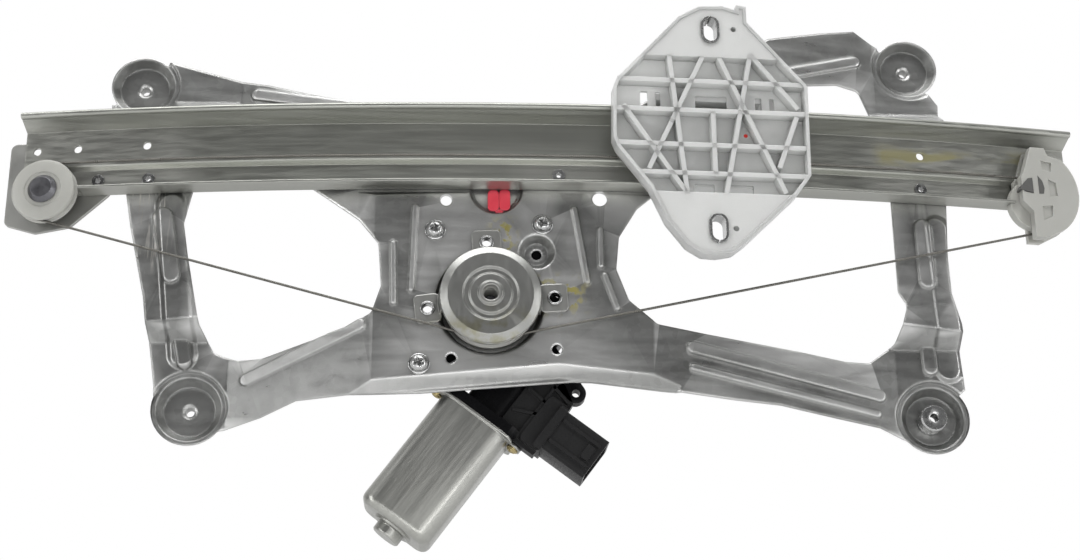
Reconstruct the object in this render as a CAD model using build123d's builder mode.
"""A car door's window regulator: a pressed plate, a curved rail, and a glass carrier that a geared
motor pulls along the rail with steel cables.

X runs along the rail, Z is up the door and Y points into the door panel, away from the viewer.
The origin is the centre of the lower left door fixing, on the plane where the corner seats lie on
the door panel. Millimetres.
"""
import os
from math import acos, asin, atan2, cos, degrees, hypot, radians, sin
from build123d import *

# Sheet metal of the base plate and the depth of its levels. The front faces are given.
sheet = 1.2
centre_level = -37.0
low_level = -9.5
pad_level = -7.5
seat_plane = 0.0
press_angle = 35
fold_left = 105.0
fold_right = 265.0
arm_end_left = 21.0
arm_end_right = 413.0

# Door fixings: x and z of the four corner seats
fixing_lower_left = (0.0, 0.0)
fixing_lower_right = (433.0, -2.0)
fixing_upper_left = (-39.0, 204.0)
fixing_upper_right = (435.0, 226.5)
dish_radius = 17.0
seat_radius = 21.5
thread_radius = 2.55
collar_length = 6.0
collar_lead = 0.0
round_collar_radius = 8.0
round_collar_height = 9.0

# Rail
rail_middle = 211.0
rail_half_length = 315.0
rail_radius = 1900.0
rail_sheet = 1.4
rail_bottom = 127.0
rail_step_height = 144.5
rail_step = 2.6
rail_web_top = 168.7
bottom_flange = 12.0
top_flange_reach = 11.5
top_flange_rise = 6.0
bead_radius = 2.0
flange_cut_left = -67.5
flange_cut_right = 487.0

# Cable and the wheels that it runs round
cable_radius = 0.8
cable_stand_off = 8.0
cable_height = 145.0
cable_easing = 12.0
turn_radius = 17.5
pulley_x = -88.0
guide_x = 500.0
pulley_width = 8.0
pulley_rim = 19.0
running_gap = 0.05

# Cable drum and its cover
drum_x = 171.7
drum_z = 57.3
winding_radius = 24.75
drum_groove = 23.9
drum_rim = 26.6
drum_front = -48.8
drum_back = -31.5
strand_level = -44.0
recess_floor = -30.0
recess_floor_radius = 28.5
recess_draft = 25
cover_front = -52.0
cover_radius = 30.0
post_radius = 4.0
post_front = -53.0
hex_size = 8.0

# Geared motor
housing_front = -27.5
housing_back = 4.0
motor_level = -10.0
wheel_radius = 27.0
worm_radius = 5.0
worm_offset = 32.4
motor_slope = 53.13
can_start = 55.0
can_length = 78.0
can_width = 46.0
can_height = 36.0
can_wall = 1.6
shaft_radius = 3.0
tunnel_radius = 7.0
neck_radius = 11.2
wheel_chamber = 30.0

# Fasteners
screw_shank = 2.9
screw_head = 6.1
rivet_bore = 2.8
rivet_tube = 3.5
rivet_flange = 4.6
rail_rivet_bore = 1.5
rail_rivet_tube = 2.4
rail_rivet_flange = 3.8

# Glass carrier
carrier_x = 299.0
carrier_back = 18.5
carrier_wall = 2.0
rib_front = 28.0
rib_thickness = 1.6
glass_slot_x = 300.3
glass_slots_z = (221.0, 94.0)
slot_half_width = 4.0
slot_length = 15.0
sleeve_wall = 1.4

os.makedirs("parts", exist_ok=True)

# The rail is an arc seen from above, with its axis upright behind the door
axis_y = centre_level - rail_sheet + rail_radius
curve_axis = Axis((rail_middle, axis_y, 0), (0, 0, 1))


def rail_angle(x):
    return degrees(asin((x - rail_middle) / rail_radius))


def on_rail(x, stand_off):
    """X and Y of a point this far in front of the rail's lower web, square to the rail."""
    turn = radians(rail_angle(x))
    reach = rail_radius + stand_off
    return rail_middle + reach * sin(turn), axis_y - reach * cos(turn)


def section_plane(x):
    """A plane across the rail: its x is the stand-off, its y is the height."""
    turn = radians(rail_angle(x))
    origin = (*on_rail(x, 0), 0)
    return Plane(origin=origin, x_dir=(sin(turn), -cos(turn), 0), z_dir=(-cos(turn), -sin(turn), 0))


def rail_face(x, stand_off):
    """A plane that faces the viewer along the rail's normal at x, with y upward."""
    turn = radians(rail_angle(x))
    origin = (*on_rail(x, stand_off), 0)
    return Plane(origin=origin, x_dir=(cos(turn), sin(turn), 0), z_dir=(sin(turn), -cos(turn), 0))


def facing(level):
    """A plane that faces the viewer at this depth, with the part's own x and z as its x and y."""
    return Plane.XZ.offset(-level)


def finish(piece, name):
    piece.part.label = name
    export_step(piece.part, f"parts/{name}.step")


def bead(plane, start, end, width):
    """A long pressed bead's outline from start to end, as a sketch on the plane."""
    middle = ((start[0] + end[0]) / 2, (start[1] + end[1]) / 2)
    run = hypot(end[0] - start[0], end[1] - start[1])
    turn = degrees(atan2(end[1] - start[1], end[0] - start[0]))
    with BuildSketch(plane) as outline:
        with Locations(middle):
            SlotCenterToCenter(run, width, rotation=turn)
    return outline.sketch


# Base plate. press_front is everything behind the plate's front face; the sheet is what is left
# when the same form is taken away one sheet thickness further back.
member_left_edge = 8.0
member_right_edge = 408.0
joggle_low = 48.0
joggle_high = 184.0
member_rise = 22.0
bead_height = 2.0
outline_margin = 45.0


def member(start, end):
    """The raised upright strip between two corner seats, curved like the back of the rail."""
    slope = member_rise * 0.75
    with BuildPart() as strip:
        with BuildSketch(facing(low_level)):
            with Locations(((start + end) / 2, (joggle_low + joggle_high) / 2)):
                Rectangle(end - start, joggle_high - joggle_low + 2 * slope * 0.55)
        extrude(amount=member_rise, taper=press_angle)
        with BuildSketch(Plane.XY):
            with Locations((rail_middle, axis_y)):
                Circle(rail_radius - rail_sheet)
        extrude(amount=2 * joggle_high, mode=Mode.INTERSECT)
    return strip.part


arm_tilt_left = degrees(atan2(low_level - centre_level, fold_left - arm_end_left))
arm_tilt_right = degrees(atan2(low_level - centre_level, arm_end_right - fold_right))


def arm_plane(fold_x, tilt):
    """The sloping face of the arms on one side. Its x keeps the part's direction."""
    lean = radians(tilt)
    return Plane(
        origin=(fold_x, centre_level, 0),
        x_dir=(cos(lean), sin(lean), 0),
        z_dir=(sin(lean), -cos(lean), 0),
    )


left_arm = arm_plane(fold_left, -arm_tilt_left)
right_arm = arm_plane(fold_right, arm_tilt_right)

with BuildPart() as press_front:
    with BuildSketch(Plane.XY.offset(-outline_margin)):
        with BuildLine():
            Polyline(
                (-90, low_level),
                (arm_end_left, low_level),
                (fold_left, centre_level),
                (fold_right, centre_level),
                (arm_end_right, low_level),
                (500, low_level),
                (500, 20),
                (-90, 20),
                close=True,
            )
        make_face()
    extrude(amount=330)
    add(member(-95, member_left_edge + 12))
    add(member(member_right_edge - 12, 505))
    # shallow curved seat for the rail across the middle
    with BuildSketch(section_plane(fold_left - 25)):
        with BuildLine():
            Polyline(
                (-rail_sheet, rail_bottom - 1.5),
                (-rail_sheet, rail_web_top + 3),
                (20, rail_web_top + 26),
                (20, rail_bottom - 24),
                close=True,
            )
        make_face()
    revolve(
        axis=curve_axis,
        revolution_arc=rail_angle(fold_right + 12) - rail_angle(fold_left - 25),
        mode=Mode.SUBTRACT,
    )
    # corner seats: a pad, then a deep dish whose floor lies on the door panel
    for corner in (fixing_lower_left, fixing_lower_right, fixing_upper_left, fixing_upper_right):
        with BuildSketch(facing(pad_level)):
            with Locations(corner):
                Circle(seat_radius - 0.5)
        extrude(amount=30, taper=-press_angle, mode=Mode.SUBTRACT)
        with BuildSketch(facing(seat_plane - sheet)):
            with Locations(corner):
                Circle(dish_radius - 2.5)
        extrude(amount=seat_plane - sheet - pad_level, taper=-press_angle, mode=Mode.SUBTRACT)
    # recess behind the cable drum
    with BuildSketch(facing(recess_floor)):
        with Locations((drum_x, drum_z)):
            Circle(recess_floor_radius)
    extrude(amount=20, taper=-recess_draft, mode=Mode.SUBTRACT)
    # deep cup beside the drum, and the sunk seat of the round hole under the rail
    with BuildSketch(facing(centre_level + 6)):
        with Locations((198.9, 88.4)):
            Circle(6.5)
    extrude(amount=20, taper=-press_angle, mode=Mode.SUBTRACT)
    with BuildSketch(facing(centre_level + 2.5)):
        with Locations((175.1, 127.5)):
            Circle(14.2)
    extrude(amount=20, taper=-press_angle, mode=Mode.SUBTRACT)
    # the bottom edge leans back below a bend line
    with BuildSketch(facing(centre_level + 5)):
        with BuildLine():
            Polyline((92, 1.5), (211, 13.2), (278, 6), (278, -30), (92, -30), close=True)
        make_face()
    extrude(amount=20, taper=-55, mode=Mode.SUBTRACT)
    # long beads on the arms, the members and the middle
    with BuildSketch(left_arm):
        add(bead(Plane.XY, (-76, 16), (-8, 43), 9))
        add(bead(Plane.XY, (-78, 197), (-20, 182), 9))
    extrude(amount=bead_height, taper=press_angle)
    with BuildSketch(right_arm):
        add(bead(Plane.XY, (24, 32), (138, 10), 9))
        add(bead(Plane.XY, (24, 20), (136, -1), 6))
        add(bead(Plane.XY, (40, 200), (138, 228), 9))
    extrude(amount=bead_height, taper=press_angle)
    with BuildSketch(facing(centre_level)):
        add(bead(Plane.XY, (128, 115), (126.5, 64), 5))
        add(bead(Plane.XY, (221, 115), (228, 70), 5))
        add(bead(Plane.XY, (115.5, 92), (116.5, 56), 5))
        add(bead(Plane.XY, (236, 102), (236, 80), 5))
        add(bead(Plane.XY, (238, 74), (245, 54), 5))
    extrude(amount=bead_height, taper=press_angle)

member_bead_ends = {
    "left_high": ((-19, 112), (-12, 76)),
    "left_low": ((-7, 44), (-3.5, 27)),
    "right_high": ((431, 112), (431, 78)),
    "right_low": ((432.5, 44), (433, 28)),
}
with BuildPart() as member_beads:
    for name, (start, end) in member_bead_ends.items():
        high = name.endswith("high")
        with BuildSketch(facing(low_level)):
            add(bead(Plane.XY, start, end, 32 if high else 10))
        extrude(amount=member_rise if high else bead_height, taper=press_angle)
    with BuildSketch(Plane.XY):
        with Locations((rail_middle, axis_y)):
            Circle(rail_radius - rail_sheet + bead_height)
    extrude(amount=2 * joggle_high, mode=Mode.INTERSECT)

with BuildPart() as press_form:
    add(press_front.part)
    add(member_beads.part)

left_opening = [
    (2, 150), (-7, 108), (-3.5, 88), (5, 47), (13, 33), (27, 28), (41, 28), (89, 42),
    (104, 50), (109, 66), (107, 92), (95, 108), (78, 122), (58, 138), (40, 150),
]
right_opening = [
    (413, 180), (413, 70), (418, 62), (412, 42), (396, 30), (381, 30), (354, 34), (297, 41),
    (268, 45), (252, 59), (245, 78), (247, 98), (258, 116), (284, 138), (330, 170),
    (366, 208), (388, 211), (402, 208),
]
with BuildSketch() as plate_outline:
    with BuildLine():
        Polyline(
            (-20, 0), (-20.5, 13), (-24, 35), (-28, 63), (-38.5, 107), (-42.5, 128), (-57, 190),
            (-39, 204), (-24, 220), (37, 203), (95, 182), (140, 171), (230, 171), (262, 184),
            (345, 238), (379, 246), (402, 250), (435, 226.5), (452.5, 200), (448, 127),
            (446, 94), (446.3, 71), (451, 52), (453, 15), (433, -2), (420, -18), (400, -9),
            (372, -4.5), (340, 1), (312, 2.5), (270, 6), (230, 10.7), (219, 10.9), (132, 3.6),
            (62, 1.2), (42, -7), (20, -13), (0, -15),
            close=True,
        )
    make_face()
    with Locations(fixing_lower_left, fixing_lower_right):
        Circle(seat_radius)
    with Locations(fixing_upper_left, fixing_upper_right):
        Circle(seat_radius - 2)
with BuildSketch() as plate_openings:
    for corners in (left_opening, right_opening):
        with BuildLine():
            Polyline(*corners, close=True)
        make_face()
    fillet(plate_openings.vertices(), 5)

screw_places = ((139.7, 101.0), (202.2, 105.2), (131.5, 19.4))
rivet_places = ((169.6, 93.2), (135.9, 52.4), (208.9, 59.6))
rail_rivet_places = ((-29.5, 136.0), (432.1, 136.0), (212.0, 136.0), (262.0, 136.0))
bracket_rivet_places = ((-59.5, 136.0), (-101.0, 138.0))
rail_holes = ((-96.9, 155.4), (-72.4, 156.0), (-31.0, 156.5), (432.5, 157.0))
plain_holes = ((149.6, 22.9), (209.9, 28.9))
drift_holes = ((145.9, 119.6, 3.3), (236.1, 121.8, 4.3))
prism_back = 10.0
prism_length = 80.0

with BuildPart() as base_plate:
    add(press_form.part)
    add(press_form.part.moved(Location((0, sheet, 0))), mode=Mode.SUBTRACT)
    with BuildSketch(facing(prism_back)):
        add(plate_outline.sketch)
        add(plate_openings.sketch, mode=Mode.SUBTRACT)
    extrude(amount=prism_length, mode=Mode.INTERSECT)
    for hole_x, hole_z, hole_radius in (
        *drift_holes,
        (198.9, 88.4, 3.0),
        (175.1, 127.5, 13.0),
        (drum_x, drum_z, 12.0),
        *((*place, 2.9) for place in plain_holes),
        *((*place, screw_shank + 0.2) for place in screw_places),
        *((*place, rivet_tube) for place in rivet_places),
    ):
        with BuildSketch(facing(prism_back)):
            with Locations((hole_x, hole_z)):
                Circle(hole_radius)
        extrude(amount=prism_length, mode=Mode.SUBTRACT)
    # the fourth corner has a separate collar, so its floor has a plain hole
    with BuildSketch(facing(prism_back)):
        with Locations(fixing_lower_right):
            Circle(thread_radius + 0.5)
    extrude(amount=prism_length, mode=Mode.SUBTRACT)
    for corner in (fixing_lower_left, fixing_upper_left, fixing_upper_right):
        with BuildSketch(facing(seat_plane + collar_length)):
            with Locations(corner):
                Circle(thread_radius + 1.6)
        extrude(amount=collar_length, taper=-25)
        with BuildSketch(facing(seat_plane + collar_lead)):
            with Locations(corner):
                Circle(thread_radius)
        extrude(amount=collar_lead + sheet, taper=-60, mode=Mode.SUBTRACT)
        with BuildSketch(facing(prism_back)):
            with Locations(corner):
                Circle(thread_radius)
        extrude(amount=prism_length, mode=Mode.SUBTRACT)
    for x, z in rail_rivet_places:
        with BuildSketch(rail_face(x, -6)):
            with Locations((0, z)):
                Circle(rail_rivet_tube)
        extrude(amount=12, mode=Mode.SUBTRACT)
finish(base_plate, "base_plate")

# Round threaded collar in the lower right corner seat
with BuildPart() as threaded_collar:
    with BuildSketch(facing(seat_plane - sheet)):
        with Locations(fixing_lower_right):
            Circle(round_collar_radius)
            Circle(thread_radius, mode=Mode.SUBTRACT)
    extrude(amount=round_collar_height)
    chamfer(threaded_collar.edges().filter_by(GeomType.CIRCLE).group_by(Axis.Y)[0], 0.8)
finish(threaded_collar, "threaded_collar")

# Curved rail: one rolled strip with a stepped web, a bottom flange and a beaded top flange
rail_left = rail_middle - rail_half_length
rail_right = rail_middle + rail_half_length
rail_sweep = rail_angle(rail_right) - rail_angle(rail_left)
pulley_clear = 7.5


def along_rail(start, end):
    """The angle between two places on the rail."""
    return rail_angle(end) - rail_angle(start)


with BuildPart() as rail:
    with BuildSketch(section_plane(rail_left)):
        with BuildLine():
            rail_back = FilletPolyline(
                (bottom_flange, rail_bottom),
                (-rail_sheet, rail_bottom),
                (-rail_sheet, rail_step_height - rail_step / 2),
                (rail_step - rail_sheet, rail_step_height + rail_step / 2),
                (rail_step - rail_sheet, rail_web_top),
                (rail_step - rail_sheet + top_flange_reach, rail_web_top + top_flange_rise),
                radius=0.8,
            )
            offset(rail_back, amount=rail_sheet, side=Side.RIGHT)
        make_face()
        with Locations((rail_step - rail_sheet + top_flange_reach, rail_web_top + top_flange_rise)):
            Circle(bead_radius)
    revolve(axis=curve_axis, revolution_arc=rail_sweep)
    for start, end in ((rail_left - 5, flange_cut_left), (flange_cut_right, rail_right + 5)):
        with BuildSketch(section_plane(start)):
            with Locations((running_gap, rail_bottom - 1)):
                Rectangle(bottom_flange + 4, 3.4, align=(Align.MIN, Align.MIN))
        revolve(axis=curve_axis, revolution_arc=along_rail(start, end), mode=Mode.SUBTRACT)
    with BuildSketch(rail_face(pulley_x, -6)):
        with Locations((0, cable_height - turn_radius)):
            Circle(pulley_clear)
    extrude(amount=12, mode=Mode.SUBTRACT)
    for x, z, radius in (
        *((*place, 2.4) for place in rail_holes),
        *((*place, rail_rivet_tube) for place in rail_rivet_places),
        *((*place, rail_rivet_tube) for place in bracket_rivet_places),
    ):
        with BuildSketch(rail_face(x, -6)):
            with Locations((0, z)):
                Circle(radius)
        extrude(amount=12, mode=Mode.SUBTRACT)
finish(rail, "rail")


def tube_rivet(x, z, grip):
    """A hollow rivet through the rail's lower web and what lies behind it."""
    with BuildPart() as rivet:
        with BuildSketch(rail_face(x, -grip - 0.6)):
            with Locations((0, z)):
                Circle(rail_rivet_flange)
                Circle(rail_rivet_bore, mode=Mode.SUBTRACT)
        extrude(amount=0.6)
        with BuildSketch(rail_face(x, -grip)):
            with Locations((0, z)):
                Circle(rail_rivet_tube)
                Circle(rail_rivet_bore, mode=Mode.SUBTRACT)
        extrude(amount=grip)
        with BuildSketch(rail_face(x, 0)):
            with Locations((0, z)):
                Circle(rail_rivet_flange)
                Circle(rail_rivet_bore, mode=Mode.SUBTRACT)
        extrude(amount=0.6)
    return rivet.part


with BuildPart() as rail_rivets:
    for x, z in rail_rivet_places:
        add(tube_rivet(x, z, rail_sheet + sheet))
finish(rail_rivets, "rail_rivets")

# Pulley bracket behind the rail's left end, with the rivet that the pulley turns on
bracket_sheet = 2.0
bracket_gap = 0.4
with BuildPart() as pulley_bracket:
    with BuildSketch(rail_face(pulley_x, -rail_sheet - bracket_sheet - bracket_gap)) as bracket_outline:
        with BuildLine():
            Polyline(
                (-27, 163), (14, 163), (36, 146), (36, 128), (13, 108), (-8, 105), (-27, 111),
                close=True,
            )
        make_face()
        fillet(bracket_outline.vertices(), 4)
        with Locations((0, cable_height - turn_radius)):
            Circle(shaft_radius, mode=Mode.SUBTRACT)
    extrude(amount=bracket_sheet)
    for x, z in bracket_rivet_places:
        with BuildSketch(rail_face(x, -6)):
            with Locations((0, z)):
                Circle(rail_rivet_tube)
        extrude(amount=12, mode=Mode.SUBTRACT)
finish(pulley_bracket, "pulley_bracket")

with BuildPart() as bracket_rivets:
    for x, z in bracket_rivet_places:
        add(tube_rivet(x, z, rail_sheet + bracket_sheet + bracket_gap + 0.1))
finish(bracket_rivets, "bracket_rivets")


def turning_plane(x, stand_off, height):
    """A plane through an axis that is square to the rail: its x is the radius, its y the stand-off."""
    turn = radians(rail_angle(x))
    origin = (*on_rail(x, stand_off), height)
    return Plane(origin=origin, x_dir=(0, 0, 1), z_dir=(cos(turn), sin(turn), 0))


def turning_axis(x, height):
    turn = radians(rail_angle(x))
    return Axis((*on_rail(x, 0), height), (sin(turn), -cos(turn), 0))


turn_height = cable_height - turn_radius
pulley_back = cable_stand_off - pulley_width / 2
pulley_face = cable_stand_off + pulley_width / 2
with BuildPart() as pulley_rivet:
    with BuildSketch(turning_plane(pulley_x, 0, turn_height)):
        with BuildLine():
            Polyline(
                (0, -rail_sheet - bracket_sheet - 1.6),
                (4.5, -rail_sheet - bracket_sheet - 1.6),
                (4.5, -rail_sheet - bracket_sheet - bracket_gap),
                (shaft_radius, -rail_sheet - bracket_sheet - bracket_gap),
                (shaft_radius, -rail_sheet - bracket_gap),
                (6, -rail_sheet - bracket_gap),
                (6, pulley_back - 0.3),
                (shaft_radius, pulley_back - 0.3),
                (shaft_radius, pulley_face + 0.3),
                (9.2, pulley_face + 0.3),
                (8.2, pulley_face + 1.8),
                (4.5, pulley_face + 2.9),
                (0, pulley_face + 3.2),
                close=True,
            )
        make_face()
    revolve(axis=turning_axis(pulley_x, turn_height))
finish(pulley_rivet, "pulley_rivet")

with BuildPart() as cable_pulley:
    with BuildSketch(turning_plane(pulley_x, 0, turn_height)):
        with BuildLine():
            Polyline(
                (shaft_radius + running_gap, pulley_back),
                (7, pulley_back),
                (8, pulley_back + 2),
                (13, pulley_back + 2),
                (14, pulley_back),
                (pulley_rim, pulley_back),
                (pulley_rim, pulley_back + 1.2),
                (turn_radius - cable_radius - running_gap, cable_stand_off - 0.6),
                (turn_radius - cable_radius - running_gap, cable_stand_off + 0.6),
                (pulley_rim, pulley_face - 1.2),
                (pulley_rim, pulley_face),
                (14, pulley_face),
                (13, pulley_face - 2),
                (9.6, pulley_face - 2),
                (9.6, pulley_face),
                (shaft_radius + running_gap, pulley_face),
                close=True,
            )
        make_face()
    revolve(axis=turning_axis(pulley_x, turn_height))
finish(cable_pulley, "cable_pulley")

# Half-round guide at the rail's right end, with a rubber stop
guide_back = rail_step + 0.15
guide_face = 15.0
with BuildPart() as cable_guide:
    with BuildSketch(rail_face(guide_x, guide_back)):
        with Locations((0, turn_height)):
            Circle(pulley_rim)
        with BuildLine():
            Polyline(
                (-4, 118), (-4, 104.5), (4, 104.5), (16, 111), (25, 120), (27, 134), (24, 150),
                (18, 157), (9, 158), (7, 163), (-2, 163), (-8, 146), close=True,
            )
        make_face()
        with BuildLine():
            Polyline((-4, 90), (-4, 121), (-10, 127), (-10, 180), (-40, 180), (-40, 90), close=True)
        make_face(mode=Mode.SUBTRACT)
    extrude(amount=guide_face - guide_back)
    with BuildSketch(rail_face(guide_x, running_gap)):
        with Locations((8, 135)):
            Rectangle(26, 14)
    extrude(amount=guide_back)
    with BuildSketch(turning_plane(guide_x, 0, turn_height)):
        with Locations((turn_radius - cable_radius - running_gap, cable_stand_off - 0.8)):
            Rectangle(40, 5, align=(Align.MIN, Align.CENTER))
    revolve(axis=turning_axis(guide_x, turn_height), mode=Mode.SUBTRACT)
finish(cable_guide, "cable_guide")

with BuildPart() as guide_bumper:
    with BuildSketch(rail_face(guide_x, cable_stand_off - 4)):
        with BuildLine():
            Polyline((-17, 130), (-10.05, 130), (-10.05, 142.5), (-13, 142.5), close=True)
        make_face()
    extrude(amount=9)
finish(guide_bumper, "guide_bumper")

# Steel cables. Each runs from the drum round its turn and along the rail into the carrier.
def tangent_angle(turn_x):
    """Direction from the turn's centre to where the cable leaves it for the drum, in degrees."""
    run_x, run_z = drum_x - turn_x, drum_z - turn_height
    span = hypot(run_x, run_z)
    lean = degrees(acos((turn_radius - winding_radius) / span))
    side = -1 if run_x > 0 else 1
    return degrees(atan2(run_z, run_x)) + side * lean


def strand_ends(turn_x):
    """Where the straight strand leaves the turn, and where it meets the drum."""
    angle = radians(tangent_angle(turn_x))
    face = rail_face(turn_x, cable_stand_off)
    leaves = face.from_local_coords(
        (turn_radius * cos(angle), turn_height + turn_radius * sin(angle), 0)
    )
    meets = Vector(
        drum_x + winding_radius * cos(angle), strand_level, drum_z + winding_radius * sin(angle)
    )
    return leaves, meets


def cable(turn_x, inner_x):
    """Run along the rail, bend round the turn and straight strand to the drum, as one line."""
    face = rail_face(turn_x, cable_stand_off)
    leaves, meets = strand_ends(turn_x)
    sense = 1 if turn_x < drum_x else -1
    around = sense * ((sense * (tangent_angle(turn_x) - 90)) % 360)

    def on_run(x):
        return (*on_rail(x, cable_stand_off), cable_height)

    def on_turn(angle):
        across, up = turn_radius * cos(radians(angle)), turn_radius * sin(radians(angle))
        return face.from_local_coords((across, turn_height + up, 0))

    last = radians(90 + around)
    leaving = face.x_dir * (-sense * sin(last)) + face.y_dir * (sense * cos(last))
    beyond = leaves + (leaving + (meets - leaves).normalized()) * (cable_easing / 2)
    with BuildPart() as line:
        with BuildLine() as route:
            ThreePointArc(on_run(inner_x), on_run((inner_x + turn_x) / 2), on_turn(90))
            ThreePointArc(on_turn(90), on_turn(90 + around / 2), leaves)
            Spline(leaves, beyond, tangents=(leaving, meets - beyond))
            Line(beyond, meets)
        with BuildSketch(Plane(origin=route.line @ 0, z_dir=route.line % 0)):
            Circle(cable_radius)
        sweep()
    return line


left_cable = cable(pulley_x, carrier_x - 1)
finish(left_cable, "left_cable")
right_cable = cable(guide_x, carrier_x + 1)
finish(right_cable, "right_cable")

# Cable drum. Its plane holds the drum's axis: x is the radius and y is how far it stands out.
drum_plane = Plane(origin=(drum_x, 0, drum_z), x_dir=(0, 0, 1), z_dir=(1, 0, 0))
drum_axis = Axis((drum_x, 0, drum_z), (0, -1, 0))
wrap_pitch = 1.6
wraps = 5
wraps_front = -41.8

with BuildPart() as cable_drum:
    with BuildSketch(drum_plane):
        with BuildLine():
            Polyline(
                (post_radius + running_gap, -drum_front),
                (drum_rim, -drum_front),
                (drum_rim, -drum_front - 1.4),
                (drum_groove - 0.4, -drum_front - 2.8),
                (drum_groove - 0.4, -strand_level - 0.9),
                (drum_groove, -strand_level - 1.1),
                (drum_groove, -drum_back + 2),
                (drum_rim, -drum_back + 1.1),
                (drum_rim, -drum_back),
                (post_radius + running_gap, -drum_back),
                close=True,
            )
        make_face()
    revolve(axis=drum_axis)
    with BuildSketch(facing(drum_back)):
        with Locations((drum_x, drum_z)):
            RegularPolygon(hex_size + running_gap, 6)
    extrude(amount=15, mode=Mode.SUBTRACT)
finish(cable_drum, "cable_drum")

with BuildPart() as cable_wraps:
    with BuildSketch(drum_plane):
        for turn in range(wraps):
            with Locations((winding_radius, -wraps_front - turn * wrap_pitch)):
                Circle(cable_radius + 0.03)
        with Locations((drum_groove, -wraps_front)):
            Rectangle(0.6, 40, align=(Align.MAX, Align.CENTER), mode=Mode.SUBTRACT)
    revolve(axis=drum_axis)
finish(cable_wraps, "cable_wraps")

# Pressed cover over the drum, with three ears riveted to the plate
with BuildPart() as drum_cover:
    with BuildSketch(drum_plane):
        with BuildLine():
            cover_line = FilletPolyline(
                (post_radius + 0.7, -cover_front + 1.2),
                (6.5, -cover_front + 1.2),
                (7.6, -cover_front),
                (11.5, -cover_front),
                (12.8, -cover_front - 1.1),
                (15.0, -cover_front - 1.1),
                (16.3, -cover_front),
                (24.3, -cover_front),
                (28.9, -cover_front - 2.4),
                (cover_radius, -centre_level + running_gap),
                radius=0.4,
            )
            offset(cover_line, amount=sheet, side=Side.RIGHT)
        make_face()
    revolve(axis=drum_axis)
    with BuildSketch(facing(centre_level + 1)):
        with Locations((drum_x, drum_z - 8)):
            Rectangle(3 * cover_radius, 30, align=(Align.CENTER, Align.MAX))
    extrude(amount=centre_level + 1 - strand_level + 3.2, mode=Mode.SUBTRACT)
    for x, z in rivet_places:
        reach = hypot(x - drum_x, z - drum_z)
        turn = degrees(atan2(z - drum_z, x - drum_x))
        with BuildSketch(facing(centre_level)) as ear:
            with Locations(Location((drum_x, drum_z), turn)):
                with Locations((cover_radius - 1.5, 0)):
                    Rectangle(reach - cover_radius + 9, 17, align=(Align.MIN, Align.CENTER))
            fillet(ear.vertices(), 3)
            with Locations((x, z)):
                Circle(rivet_tube, mode=Mode.SUBTRACT)
        extrude(amount=sheet)
finish(drum_cover, "drum_cover")

with BuildPart() as cover_rivets:
    for x, z in rivet_places:
        for level, length, radius in (
            (centre_level + sheet, sheet * 2, rivet_tube),
            (centre_level - sheet, 0.8, rivet_flange),
            (centre_level + sheet + 0.8, 0.8, rivet_tube + 0.6),
        ):
            with BuildSketch(facing(level)):
                with Locations((x, z)):
                    Circle(radius)
            extrude(amount=length)
        with BuildSketch(facing(prism_back)):
            with Locations((x, z)):
                Circle(rivet_bore)
        extrude(amount=prism_length, mode=Mode.SUBTRACT)
finish(cover_rivets, "cover_rivets")

# Worm wheel, rubber damper and the hub that drives the drum, all on one post
wheel_front = -16.0
wheel_back = -4.0
teeth = 73
tooth_height = 1.6
cup_inner = 9.3
cup_outer = 20.0
cup_floor = -9.0
hub_radius = 10.0
finger_reach = 14.6


def tooth_corners(number):
    """Four corners of one tooth on the rim."""
    pitch = radians(360 / teeth)
    corners = []
    for share, radius in ((0.0, -tooth_height), (0.25, -tooth_height), (0.4, 0), (0.85, 0)):
        angle = (number + share) * pitch
        reach = wheel_radius + radius
        corners.append((drum_x + reach * cos(angle), drum_z + reach * sin(angle)))
    return corners


with BuildPart() as worm_wheel:
    with BuildSketch(facing(wheel_back)):
        with BuildLine():
            Polyline(*[corner for number in range(teeth) for corner in tooth_corners(number)], close=True)
        make_face()
        with Locations((drum_x, drum_z)):
            Circle(post_radius + running_gap, mode=Mode.SUBTRACT)
    extrude(amount=wheel_back - wheel_front)
    with BuildSketch(facing(cup_floor)):
        with Locations((drum_x, drum_z)):
            Circle(cup_outer)
            Circle(cup_inner, mode=Mode.SUBTRACT)
    extrude(amount=20, mode=Mode.SUBTRACT)
finish(worm_wheel, "worm_wheel")


def fingers(level, length, width, height):
    """The three driving fingers between the hub and the damper, or the slots for them."""
    with BuildPart() as group:
        with BuildSketch(facing(level)):
            with Locations((drum_x, drum_z)):
                with PolarLocations(finger_reach, 3):
                    Rectangle(height, width)
        extrude(amount=length)
    return group.part


with BuildPart() as damper:
    with BuildSketch(facing(cup_floor - running_gap)):
        with Locations((drum_x, drum_z)):
            Circle(cup_outer - running_gap)
            Circle(cup_inner + running_gap, mode=Mode.SUBTRACT)
    extrude(amount=cup_floor - wheel_front - 2 * running_gap)
    add(fingers(cup_floor, 10, 5.2, 8.2), mode=Mode.SUBTRACT)
finish(damper, "damper")

with BuildPart() as output_hub:
    with BuildSketch(drum_plane):
        with BuildLine():
            Polyline(
                (post_radius + running_gap, -wheel_front + 0.1),
                (21, -wheel_front + 0.1),
                (21, -wheel_front + 2),
                (hub_radius, -wheel_front + 2),
                (hub_radius, -drum_back - 0.1),
                (post_radius + running_gap, -drum_back - 0.1),
                close=True,
            )
        make_face()
    revolve(axis=drum_axis)
    with BuildSketch(facing(drum_back + 0.1)):
        with Locations((drum_x, drum_z)):
            RegularPolygon(hex_size, 6)
            Circle(post_radius + running_gap, mode=Mode.SUBTRACT)
    extrude(amount=14.6)
    add(fingers(wheel_front + 6, 6.1, 5, 8))
finish(output_hub, "output_hub")

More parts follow.
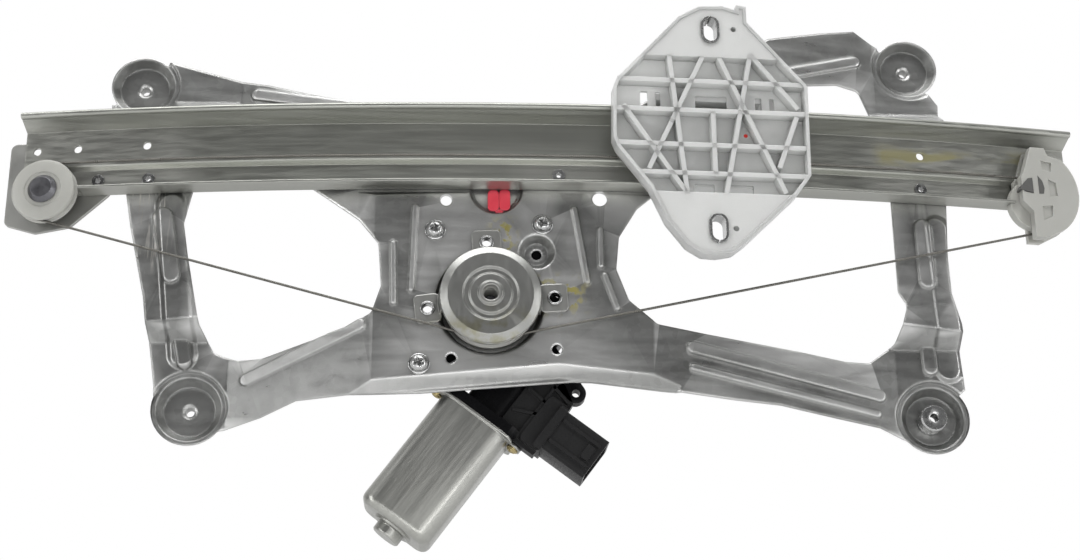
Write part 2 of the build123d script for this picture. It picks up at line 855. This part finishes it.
with BuildPart() as wheel_post:
    with BuildSketch(facing(housing_back - 0.6)):
        with Locations((drum_x, drum_z)):
            Circle(post_radius)
    extrude(amount=housing_back - 0.6 - post_front)
    chamfer(wheel_post.edges().filter_by(GeomType.CIRCLE).group_by(Axis.Y)[0], 0.6)
finish(wheel_post, "wheel_post")

# Geared motor. Its own plane lies across the shaft: x points to the connector's side and y to the
# viewer. Its origin is the middle of the worm, and distances along the shaft are counted from there.
slope = radians(motor_slope)
side_x, side_z = sin(slope), -cos(slope)
shaft_x, shaft_z = -cos(slope), -sin(slope)
worm_x = drum_x + worm_offset * side_x
worm_z = drum_z + worm_offset * side_z


def across_shaft(along):
    return Plane(
        origin=(worm_x + along * shaft_x, motor_level, worm_z + along * shaft_z),
        x_dir=(side_x, 0, side_z),
        z_dir=(shaft_x, 0, shaft_z),
    )


shaft_plane = Plane(
    origin=(worm_x, motor_level, worm_z), x_dir=(side_x, 0, side_z), z_dir=(0, 1, 0)
)
shaft_axis = Axis((worm_x, motor_level, worm_z), (shaft_x, 0, shaft_z))
chamber_floor = 1.0
boss_radius = 5.5
neck_start = 36.0
tunnel_end = -27.2
gear_cover_thickness = 2.0
socket_side = 58.0
socket_along = 37.0
socket_width = 26.0
socket_length = 28.0
socket_height = 24.0
socket_wall = 2.0
socket_depth = 19.0
ear_place = (221.6, 7.3)
can_screw_x = 22.3
can_screw_y = 14.0


def around_drum(level, radius, length):
    """A disc about the drum's axis, from this level towards the viewer."""
    with BuildPart() as disc:
        with BuildSketch(facing(level)):
            with Locations((drum_x, drum_z)):
                Circle(radius)
        extrude(amount=length)
    return disc.part


with BuildPart() as gear_housing:
    add(around_drum(housing_back, wheel_chamber + 3, housing_back - housing_front))
    for x, z in screw_places:
        with BuildSketch(facing(-12)):
            with Locations((drum_x, drum_z)):
                Circle(18)
            with Locations((x, z)):
                Circle(boss_radius)
            make_hull()
        extrude(amount=-12 - housing_front)
        with BuildSketch(facing(housing_front)):
            with Locations((x, z)):
                Circle(boss_radius)
        extrude(amount=housing_front - centre_level - sheet)
    with BuildSketch(across_shaft(tunnel_end - 3)):
        RectangleRounded(24, 26, 5)
    extrude(amount=can_start - tunnel_end - 3)
    with BuildSketch(across_shaft(can_start - 6)):
        RectangleRounded(51, 37, 5)
    extrude(amount=6)
    with BuildSketch(across_shaft(socket_along - socket_length / 2)):
        with Locations((socket_side, 6)):
            RectangleRounded(socket_width, socket_height, 2)
    extrude(amount=socket_length)
    with BuildSketch(across_shaft(socket_along - 10)):
        with Locations((10, 4)):
            Rectangle(socket_side - socket_width / 2 - 9, 14, align=(Align.MIN, Align.CENTER))
    extrude(amount=20)
    with BuildSketch(facing(-14)):
        with Locations(ear_place):
            Circle(5.8)
        with Locations((worm_x, worm_z)):
            Circle(9)
        make_hull()
    extrude(amount=8)
    add(around_drum(chamber_floor, wheel_chamber, 40), mode=Mode.SUBTRACT)
    add(around_drum(chamber_floor, 7, chamber_floor - wheel_back - 0.1))
    add(around_drum(housing_back - 0.6, post_radius, 20), mode=Mode.SUBTRACT)
    for start, end, radius in ((tunnel_end, can_start, tunnel_radius), (neck_start, can_start, neck_radius)):
        with BuildSketch(across_shaft(start)):
            Circle(radius)
        extrude(amount=end - start, mode=Mode.SUBTRACT)
    with BuildSketch(across_shaft(socket_along + socket_length / 2 - socket_depth)):
        with Locations((socket_side, 6)):
            Rectangle(socket_width - 2 * socket_wall, socket_height - 2 * socket_wall)
    extrude(amount=socket_depth, mode=Mode.SUBTRACT)
    with BuildSketch(facing(prism_back)):
        with Locations(ear_place):
            Circle(2.3)
    extrude(amount=40, mode=Mode.SUBTRACT)
    for x, z in screw_places:
        with BuildSketch(facing(-18)):
            with Locations((x, z)):
                Circle(screw_shank)
        extrude(amount=30, mode=Mode.SUBTRACT)
    for side in (-1, 1):
        with BuildSketch(across_shaft(can_start - 5)):
            with Locations((side * can_screw_x, can_screw_y)):
                Circle(1.8)
        extrude(amount=5, mode=Mode.SUBTRACT)
finish(gear_housing, "gear_housing")

with BuildPart() as gear_cover:
    add(around_drum(housing_front + gear_cover_thickness, wheel_chamber - running_gap, gear_cover_thickness))
    add(around_drum(0, hub_radius + 0.3, 40), mode=Mode.SUBTRACT)
finish(gear_cover, "gear_cover")

with BuildPart() as housing_seal:
    add(around_drum(housing_front, 15.5, housing_front - recess_floor - sheet))
    add(around_drum(0, 12.6, 40), mode=Mode.SUBTRACT)
finish(housing_seal, "housing_seal")

with BuildPart() as connector_pins:
    with BuildSketch(across_shaft(socket_along + socket_length / 2 - socket_depth)):
        with Locations((socket_side, 6)):
            with GridLocations(5, 7, 3, 2):
                Rectangle(0.8, 0.8)
    extrude(amount=socket_depth - 6)
finish(connector_pins, "connector_pins")

with BuildPart() as motor_screws:
    for x, z in screw_places:
        with BuildSketch(facing(-18)):
            with Locations((x, z)):
                Circle(screw_shank)
        extrude(amount=-18 - centre_level)
        with BuildSketch(facing(centre_level)):
            with Locations((x, z)):
                Circle(screw_head)
        extrude(amount=1.4, taper=15)
        with BuildSketch(facing(centre_level - 1.4)):
            with Locations((x, z)):
                RegularPolygon(4.6, 6)
        extrude(amount=3)
        with BuildSketch(facing(centre_level - 2.4)):
            with Locations((x, z)):
                Rectangle(5, 1.1)
                Rectangle(1.1, 5)
        extrude(amount=3, mode=Mode.SUBTRACT)
finish(motor_screws, "motor_screws")

# Motor can, magnets and bearings
can_end = can_start + can_length
bearing_radius = 7.0


def can_section(inset):
    """The can's round section with two flats, as a sketch across the shaft."""
    with BuildSketch() as section:
        Circle(can_width / 2 - inset)
        Rectangle(can_width, can_height - 2 * inset, mode=Mode.INTERSECT)
    return section.sketch


with BuildPart() as motor_can:
    with BuildSketch(across_shaft(can_start)):
        RectangleRounded(51, 37, 5)
    extrude(amount=can_wall)
    with BuildSketch(across_shaft(can_start)):
        add(can_section(0))
    extrude(amount=can_length)
    with BuildSketch(across_shaft(can_end)):
        Circle(bearing_radius + can_wall)
    extrude(amount=7)
    with BuildSketch(across_shaft(can_start)):
        add(can_section(can_wall))
    extrude(amount=can_length - can_wall, mode=Mode.SUBTRACT)
    with BuildSketch(across_shaft(can_end - can_wall)):
        Circle(bearing_radius)
    extrude(amount=can_wall + 5.4, mode=Mode.SUBTRACT)
    for side in (-1, 1):
        with BuildSketch(across_shaft(can_start)):
            with Locations((side * can_screw_x, can_screw_y)):
                Circle(1.8)
        extrude(amount=can_wall, mode=Mode.SUBTRACT)
finish(motor_can, "motor_can")

with BuildPart() as can_screws:
    for side in (-1, 1):
        with BuildSketch(across_shaft(can_start - 5)):
            with Locations((side * can_screw_x, can_screw_y)):
                Circle(1.8)
        extrude(amount=5 + can_wall)
        with BuildSketch(across_shaft(can_start + can_wall)):
            with Locations((side * can_screw_x, can_screw_y)):
                Circle(3.2)
                Rectangle(0.8, 4, mode=Mode.SUBTRACT)
        extrude(amount=2)
finish(can_screws, "can_screws")

magnet_start = 66.0
magnet_length = 44.0
with BuildPart() as magnets:
    with BuildSketch(across_shaft(magnet_start)):
        Circle(can_height / 2 - can_wall - 0.1)
        Circle(13.3, mode=Mode.SUBTRACT)
        Rectangle(40, 14, mode=Mode.SUBTRACT)
    extrude(amount=magnet_length)
finish(magnets, "magnets")


def bush(start, length, outer):
    with BuildPart() as ring:
        with BuildSketch(across_shaft(start)):
            Circle(outer)
            Circle(shaft_radius + running_gap, mode=Mode.SUBTRACT)
        extrude(amount=length)
    return ring


front_bearing = bush(-24, 6, tunnel_radius - running_gap)
finish(front_bearing, "front_bearing")
rear_bearing = bush(can_end - can_wall + 0.2, 5.6, bearing_radius - running_gap)
finish(rear_bearing, "rear_bearing")

with BuildPart() as thrust_ball:
    with Locations(across_shaft(tunnel_end + 2.55).origin):
        Sphere(2.5)
finish(thrust_ball, "thrust_ball")

# Armature: shaft with its worm, slotted core, windings and commutator
worm_turns = 11
worm_pitch = 2.33
with BuildPart() as worm_shaft:
    with BuildSketch(shaft_plane):
        with BuildLine():
            profile = [
                (0, tunnel_end + 5.2),
                (shaft_radius, tunnel_end + 5.2),
                (shaft_radius, -worm_turns * worm_pitch / 2 - 0.6),
            ]
            for turn in range(worm_turns):
                start = (turn - worm_turns / 2) * worm_pitch
                profile += [
                    (worm_radius - tooth_height, start),
                    (worm_radius - tooth_height, start + 0.5),
                    (worm_radius, start + 1.1),
                    (worm_radius, start + 1.7),
                ]
            profile += [
                (shaft_radius, worm_turns * worm_pitch / 2 + 0.4),
                (shaft_radius, can_end + 3.6),
                (0, can_end + 3.6),
            ]
            Polyline(*profile, close=True)
        make_face()
    revolve(axis=shaft_axis)
finish(worm_shaft, "worm_shaft")

core_radius = 12.6
core_start = 68.0
core_length = 40.0
poles = 8
with BuildPart() as armature_core:
    with BuildSketch(across_shaft(core_start)):
        Circle(core_radius)
        Circle(shaft_radius, mode=Mode.SUBTRACT)
        with PolarLocations(9, poles):
            Rectangle(5, 3, mode=Mode.SUBTRACT)
        with PolarLocations(12, poles):
            Rectangle(3, 1.2, mode=Mode.SUBTRACT)
    extrude(amount=core_length)
finish(armature_core, "armature_core")

with BuildPart() as windings:
    with BuildSketch(across_shaft(core_start)):
        with PolarLocations(9, poles):
            Rectangle(4.8, 2.8)
    extrude(amount=core_length)
    for start in (core_start - 7, core_start + core_length):
        with BuildSketch(across_shaft(start)):
            Circle(11.4)
            Circle(shaft_radius + 1, mode=Mode.SUBTRACT)
        extrude(amount=7)
finish(windings, "windings")

commutator_start = 40.0
commutator_radius = 6.5
with BuildPart() as commutator:
    with BuildSketch(across_shaft(commutator_start)):
        Circle(commutator_radius)
        with PolarLocations(commutator_radius, poles):
            Rectangle(1.2, 0.5, mode=Mode.SUBTRACT)
        Circle(shaft_radius, mode=Mode.SUBTRACT)
    extrude(amount=13)
finish(commutator, "commutator")

# Brush gear round the commutator
brush_size = 4.8
with BuildPart() as brush_holder:
    with BuildSketch(across_shaft(commutator_start - 1)):
        Circle(neck_radius - running_gap)
        Circle(commutator_radius + 1, mode=Mode.SUBTRACT)
    extrude(amount=14)
    with BuildSketch(across_shaft(commutator_start + 3)):
        Rectangle(30, brush_size + 0.1, mode=Mode.ADD)
    extrude(amount=brush_size + 0.1, mode=Mode.SUBTRACT)
finish(brush_holder, "brush_holder")

with BuildPart() as brushes:
    with BuildSketch(across_shaft(commutator_start + 3.05)):
        for side in (-1, 1):
            with Locations((side * 8.0, 0)):
                Rectangle(2.8, brush_size)
    extrude(amount=brush_size)
finish(brushes, "brushes")

# Red plug seen through the round hole under the rail
with BuildPart() as hole_plug:
    with BuildSketch(facing(centre_level + 2.5 + sheet + 1.6)):
        with Locations((175.1, 127.5)):
            Circle(15.5)
    extrude(amount=1.6)
    with BuildSketch(facing(centre_level + 2.5 + sheet)):
        with Locations((170.2, 121.5), (178.6, 121.5)):
            Circle(4.8)
        with Locations((174, 128)):
            Rectangle(12, 14)
    extrude(amount=2.6)
finish(hole_plug, "hole_plug")

# Glass carrier: a ribbed moulding that slides on the rail's two flanges
boss_margin = 2.0
carrier_outline = [
    (-9, 233), (14, 233.5), (24, 236), (28, 223), (56, 183), (54.7, 123), (45.4, 112), (16.5, 83.5),
    (8, 78.5), (-7, 78.5), (-17, 83), (-36.7, 113), (-54.2, 141.5), (-55.4, 175.5), (-26, 213), (-17, 224),
]
lattice = (
    ((-50, 187), (48, 187)), ((-54, 168), (54, 168)), ((-52, 146), (54, 146)), ((-36, 128), (54, 128)),
    ((1, 128), (1, 168)), ((-52, 170), (-15, 114)), ((-22, 165), (-38, 130)), ((-22, 165), (-13, 114)),
    ((17, 170), (9, 114)), ((20, 170), (41, 124)), ((50, 165), (39, 137)), ((7, 199), (21, 172)),
    ((-28, 211), (-25, 187)), ((-40, 112), (45, 112)), ((-9, 233), (-26, 187)), ((28, 223), (8, 187)),
)
window_places = ((-46, 177, 18, 8), (13, 177, 27, 8), (48, 175, 8, 8), (7, 121, 18, 8), (33, 120, 20, 7))

with BuildPart() as glass_carrier:
    with BuildSketch(rail_face(carrier_x, carrier_back)) as carrier_plan:
        with BuildLine():
            Polyline(*carrier_outline, close=True)
        make_face()
        fillet(carrier_plan.vertices(), 3)
    extrude(amount=carrier_wall)
    with BuildSketch(rail_face(carrier_x, carrier_back)):
        add(carrier_plan.sketch_local)
        offset(amount=-rib_thickness, mode=Mode.SUBTRACT)
    extrude(amount=rib_front - carrier_back)
    with BuildSketch(rail_face(carrier_x, carrier_back)):
        for start, end in lattice:
            run = hypot(end[0] - start[0], end[1] - start[1])
            turn = degrees(atan2(end[1] - start[1], end[0] - start[0]))
            with Locations(Location(((start[0] + end[0]) / 2, (start[1] + end[1]) / 2), turn)):
                Rectangle(run, rib_thickness)
    extrude(amount=rib_front - carrier_back - 1)
    for z in glass_slots_z:
        with BuildSketch(rail_face(carrier_x, carrier_back)):
            with Locations((glass_slot_x - carrier_x, z)):
                SlotOverall(
                    slot_length + 2 * (sleeve_wall + boss_margin),
                    2 * (slot_half_width + sleeve_wall + boss_margin),
                    rotation=90,
                )
        extrude(amount=rib_front - carrier_back)
    # hooks behind the wall take hold of the rail's two flanges
    for low, high, near in (
        (rail_web_top - 4, rail_web_top - 0.5, 9), (177.6, 181.5, 8), (129.2, 133, 3), (122.5, 126.4, 4)
    ):
        with BuildSketch(rail_face(carrier_x, near)):
            with Locations((0, (low + high) / 2)):
                Rectangle(64, high - low)
        extrude(amount=carrier_back - near)
    with BuildSketch(rail_face(carrier_x, cable_stand_off - 3)):
        with Locations((0, cable_height)):
            Rectangle(32, 11)
    extrude(amount=carrier_back - cable_stand_off + 3)
    for start, end, radius in ((-20, 20, 1.5), (-12, -2, 2.65), (2, 12, 2.65)):
        with BuildSketch(section_plane(carrier_x + start)):
            with Locations((cable_stand_off, cable_height)):
                Circle(radius)
        revolve(
            axis=curve_axis,
            revolution_arc=along_rail(carrier_x + start, carrier_x + end),
            mode=Mode.SUBTRACT,
        )
    for z in glass_slots_z:
        with BuildSketch(rail_face(carrier_x, carrier_back - 1)):
            with Locations((glass_slot_x - carrier_x, z)):
                SlotOverall(
                    slot_length + 2 * sleeve_wall, 2 * (slot_half_width + sleeve_wall), rotation=90
                )
        extrude(amount=20, mode=Mode.SUBTRACT)
    for u, z, width, height in window_places:
        with BuildSketch(rail_face(carrier_x, carrier_back - 1)):
            with Locations((u, z)):
                Rectangle(width, height)
        extrude(amount=carrier_wall + 1, mode=Mode.SUBTRACT)
finish(glass_carrier, "glass_carrier")


def sleeve(z, split_side):
    """A steel sleeve rolled into a slot shape, with its open joint at one end."""
    with BuildPart() as ring:
        with BuildSketch(rail_face(carrier_x, carrier_back)):
            with Locations((glass_slot_x - carrier_x, z)):
                SlotOverall(
                    slot_length + 2 * sleeve_wall, 2 * (slot_half_width + sleeve_wall), rotation=90
                )
                SlotOverall(slot_length, 2 * slot_half_width, rotation=90, mode=Mode.SUBTRACT)
            with Locations((glass_slot_x - carrier_x, z + split_side * (slot_length / 2))):
                Rectangle(0.8, 6, mode=Mode.SUBTRACT)
        extrude(amount=rib_front - carrier_back + 0.6)
    return ring


upper_sleeve = sleeve(glass_slots_z[0], 1)
finish(upper_sleeve, "upper_sleeve")
lower_sleeve = sleeve(glass_slots_z[1], -1)
finish(lower_sleeve, "lower_sleeve")

with BuildPart() as cable_ferrules:
    for start, end in ((-11.8, -2.2), (2.2, 11.8)):
        with BuildSketch(section_plane(carrier_x + start)):
            with Locations((cable_stand_off, cable_height)):
                Circle(2.6)
                Circle(1.4, mode=Mode.SUBTRACT)
        revolve(axis=curve_axis, revolution_arc=along_rail(carrier_x + start, carrier_x + end))
finish(cable_ferrules, "cable_ferrules")
